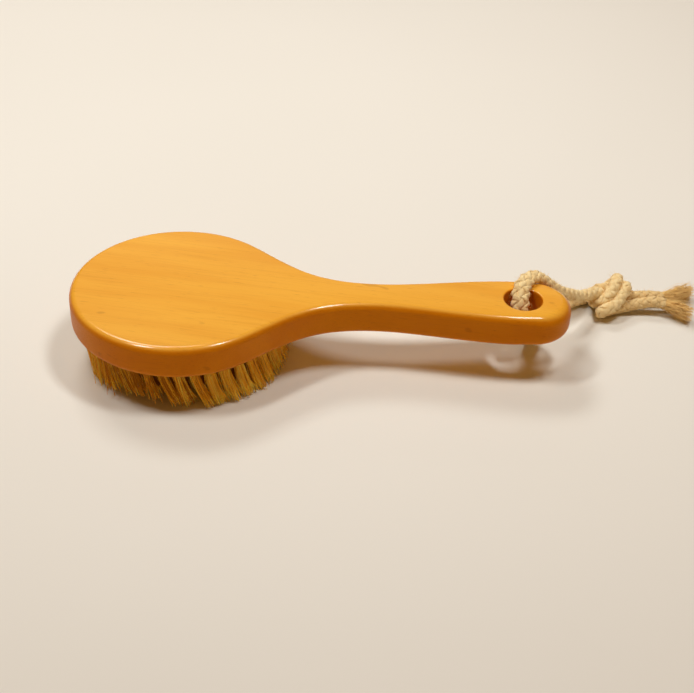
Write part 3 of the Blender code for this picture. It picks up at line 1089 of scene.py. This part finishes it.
ROOTS_WITHIN = 0.92 * TUFT_RADIUS
ROOTS_BELOW = 0.4 * MM  # the recess's end

# How the hairs of a tuft differ: standard deviations, unless a comment says something else
LOCKS = 3  # that the tuft's tip parts into
LOCK_SPREAD = 0.75 * MM
LOCK_LENGTHS_DIFFER_BY = 1.3 * MM  # at most
STRAY_SHARE = 0.16  # of hairs whose tips stray far from their lock's
STRAY_FAR = 1.5 * MM
STRAY_NEAR = 0.32 * MM
LEANS_DIFFER_BY = 0.7 * MM
HAIR_BOW = 0.3 * MM
HAIR_LENGTHS_DIFFER_BY = 0.5 * MM

BRISTLE_TONES = (
    (1.00, 0.54, 0.035),
    (0.96, 0.45, 0.020),
    (1.00, 0.68, 0.090),
    (0.60, 0.225, 0.008),
)
TONE_SHARES = np.array((0.41, 0.25, 0.26, 0.08))
DARKEST_TONE = 3
INNER_PAINTED_SHADE = (0.26, 0.065, 0.002)  # painted shade: the colour of all but the tips in the inner rings, which stand in the dark
PAINTED_SHADE_SLOT = len(HAIR_PARTS) * len(BRISTLE_TONES)
RING_2_PAINTED_SHADE = 0.6  # the share of its hairs that are moved to the darkest tone, as painted shade where the ring shows between the outer tufts

# Where use has worn the outer tufts down and where it has splayed them; the worn ones also get painted shade
WORN_ANGLE = math.radians(250)
WORN_SPREAD = math.radians(16)
WORN_BY = 3.4 * MM  # that the most worn tuft has lost of its length
WORN_THINNING = 0.5  # the share that it has lost of its hairs
WORN_PAINTED_SHADE = 0.85  # the share of its hairs that are moved to the darkest tone, as painted shade on the worn front tufts
SPLAYED_ANGLE = math.radians(220)
SPLAYED_SPREAD = math.radians(17)
SPLAYED_BY = 3.0 * MM


def bristle_materials():
    """For each tone a root, a middle and a tip, and one dark material of painted shade for the inner rings. Hair is
    darker at its root, partly its own colour and partly painted shade under the board, and paler at its tip.
    """
    made = []
    for i, tone in enumerate(BRISTLE_TONES):
        for part, share in HAIR_PARTS:
            color = tuple(min(1, channel * share) for channel in tone)
            made.append(bristle_material(f"bristle_{i + 1}_{part}", color))
    made.append(bristle_material("bristle_inner", INNER_PAINTED_SHADE))
    return made


def bump_at(angle, middle, spread):
    """1 at the middle angle, falling off smoothly to 0 on both sides of it."""
    off = (angle - middle + math.pi) % (2 * math.pi) - math.pi
    return math.exp(-0.5 * (off / spread) ** 2)


def tuft_hairs(x, y, count, outwards, shorter):
    """Centre lines of one tuft's hairs, (count, HAIR_STEPS, 3), from the root down to the tip. They
    part into a few locks, and some hairs stray from theirs. outwards is how far use has bent the
    tuft, and shorter is how much of it has worn off."""
    splay = random.uniform(0.95, 1.35)
    angle = random.uniform(0, 2 * math.pi, count)
    reach = ROOTS_WITHIN * np.sqrt(random.uniform(0, 1, count))
    root = np.stack((reach * np.cos(angle), reach * np.sin(angle)), axis=1)
    locks = random.normal(0, LOCK_SPREAD, (LOCKS, 2))
    lock_lengths = random.uniform(0, LOCK_LENGTHS_DIFFER_BY, LOCKS)
    lock = random.integers(0, LOCKS, count)
    stray = np.where(random.uniform(0, 1, (count, 1)) < STRAY_SHARE, STRAY_FAR, STRAY_NEAR)
    tip = root * splay + locks[lock] + random.normal(0, 1, (count, 2)) * stray
    lean = np.array((TUFT_LEAN, 0)) + random.normal(0, LEANS_DIFFER_BY, 2) + outwards
    t = np.linspace(0, 1, HAIR_STEPS)[None, :, None]
    bow = random.normal(0, HAIR_BOW, (count, 1, 2)) * np.sin(math.pi * t)
    shift = lean * (0.55 * t + 0.45 * t**2)
    flat = np.array((x, y)) + root[:, None] + (tip - root)[:, None] * t**1.3 + shift + bow
    top = BOARD_LOW.z + RECESS_DEPTH - ROOTS_BELOW
    worn_off = np.abs(random.normal(0, HAIR_LENGTHS_DIFFER_BY, count)) + lock_lengths[lock]
    bottom = worn_off + HAIR_RADIUS + shorter
    z = top + (bottom[:, None] - top) * t[..., 0]
    return np.concatenate((flat, z[..., None]), axis=2)


def hair_tones(count, dark):
    """A tone number for each hair; dark is the share that is moved to the darkest tone."""
    shares = (1 - dark) * TONE_SHARES
    shares[DARKEST_TONE] += dark
    return random.choice(len(TONE_SHARES), count, p=shares)


def outer_tuft(x, y, angle):
    """Hairs and tones of a tuft in the outer ring, which use may have worn or splayed. Where it is worn, more of its
    hairs take the darkest tone as painted shade.
    """
    worn = bump_at(angle, WORN_ANGLE, WORN_SPREAD)
    splayed = SPLAYED_BY * bump_at(angle, SPLAYED_ANGLE, SPLAYED_SPREAD)
    outwards = splayed * np.array((math.cos(angle), math.sin(angle)))
    count = round(OUTER_HAIRS * (1 - WORN_THINNING * worn))
    hairs = tuft_hairs(x, y, count, outwards, WORN_BY * worn)
    return hairs, hair_tones(count, WORN_PAINTED_SHADE * worn)


def inner_tuft(x, y, ring):
    """Hairs and tones of any other tuft. The second ring shows between the outer tufts, so it has more hairs than the
    rings that stand behind it, and more of them take the darkest tone as painted shade."""
    second = ring == 1
    count = RING_2_HAIRS if second else INNER_HAIRS
    hairs = tuft_hairs(x, y, count, 0, 0)
    return hairs, hair_tones(count, RING_2_PAINTED_SHADE if second else 0)


def tuft_names(number, ring):
    """The piece that a tuft is in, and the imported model's node that it stands for."""
    if ring == 0:
        piece = f"bristle_tufts_outer_{number // OUTER_TUFTS_IN_PIECE + 1}"
        return piece, f"bristle_tuft_{number + 1:02d}"
    if ring < len(TUFTS_IN_RING):
        return f"bristle_tufts_ring_{ring + 1}", f"bristle_ring_{ring + 1}"
    return "bristle_tufts_middle", "bristle_tuft_middle"


def make_tufts(name, hairs, tones, nodes, materials):
    """One piece of bristle. Its material slots go by tone and then by part of the hair, and a hair's
    end faces come after all the side faces, the roots before the tips."""
    hairs = np.concatenate(hairs)
    thickness = HAIR_RADIUS * random.uniform(0.75, 1.2, (len(hairs), 1))
    radius = thickness * np.linspace(1.0, 0.72, HAIR_STEPS)[None]
    vertices, faces = tubes(hairs, radius, radius, HAIR_SIDES)
    obj = mesh_object(name, vertices, faces, materials)
    root_slot = np.concatenate(tones) * len(HAIR_PARTS)
    slots = root_slot[:, None] + SEGMENT_PARTS
    # Painted shade: all but the tips of the inner tufts take the dark material
    if "outer" not in name:
        slots[:, :-1] = PAINTED_SHADE_SLOT
    caps = np.concatenate((root_slot, root_slot + SEGMENT_PARTS[-1]))
    face_slots = np.concatenate((np.repeat(slots.ravel(), HAIR_SIDES), caps))
    obj.data.polygons.foreach_set("material_index", face_slots)
    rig.ride(obj, "root")
    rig.slot(obj, "bristle")
    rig.replaces(obj, *sorted(nodes))


def make_bristles():
    pieces = {}
    for number, (ring, x, y, angle) in enumerate(tuft_places()):
        name, node = tuft_names(number, ring)
        hairs, tones, nodes = pieces.setdefault(name, ([], [], set()))
        tuft, tuft_tones = outer_tuft(x, y, angle) if ring == 0 else inner_tuft(x, y, ring)
        hairs.append(tuft)
        tones.append(tuft_tones)
        nodes.add(node)
    materials = bristle_materials()
    for name, (hairs, tones, nodes) in pieces.items():
        make_tufts(name, hairs, tones, nodes, materials)


make_bristles()


# ---------------------------------------------------------------- floor and light


FLOOR_SIZE = 8.0
LAMP_COLOR = (0.975, 1.005, 1.05)
ROOM_COLOR = (1.0, 0.51, 0.15, 1)
ROOM_STRENGTH = 0.20


def make_floor():
    bpy.ops.mesh.primitive_plane_add(size=FLOOR_SIZE, location=(0, 0, 0))
    floor = bpy.context.object
    floor.name = "floor"
    floor.data.materials.append(floor_material())
    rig.stage(floor)


def add_light(name, place, target, size, power):
    """A rectangular lamp at place that faces target, its size in metres and its power in watts."""
    data = bpy.data.lights.new(name, "AREA")
    data.shape = "RECTANGLE"
    data.size, data.size_y = size
    data.energy = power
    data.color = LAMP_COLOR
    light = bpy.data.objects.new(name, data)
    bpy.context.scene.collection.objects.link(light)
    light.location = place
    light.rotation_mode = "QUATERNION"
    light.rotation_quaternion = (Vector(place) - Vector(target)).to_track_quat("Z", "Y")


def make_lights():
    add_light("right_light", (0.20, -0.03, 0.75), (0.00, 0.65, 0), (0.11, 0.22), 2.8)
    add_light("left_light", (-0.31, -0.03, 0.75), (-0.08, 0.65, 0), (0.09, 0.22), 2.8)
    add_light("rear_light", (-0.35, 0.75, 1.10), (-0.20, 0.60, 0), (0.50, 0.30), 5.8)
    add_light("sheen_light", (0.10, 2.00, 1.12), (0, 0, 0), (1.70, 0.34), 0.95)
    world = bpy.data.worlds.new("world")
    world.use_nodes = True
    background = world.node_tree.nodes["Background"]
    background.inputs["Color"].default_value = ROOM_COLOR
    background.inputs["Strength"].default_value = ROOM_STRENGTH
    bpy.context.scene.world = world
    bpy.context.scene.view_settings.view_transform = "Standard"


make_floor()
make_lights()

low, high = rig.bounds()
with open("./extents.json", "w") as file:
    json.dump({"cad": [list(CAD_LOW), list(CAD_HIGH)], "visual": [list(low), list(high)]}, file)
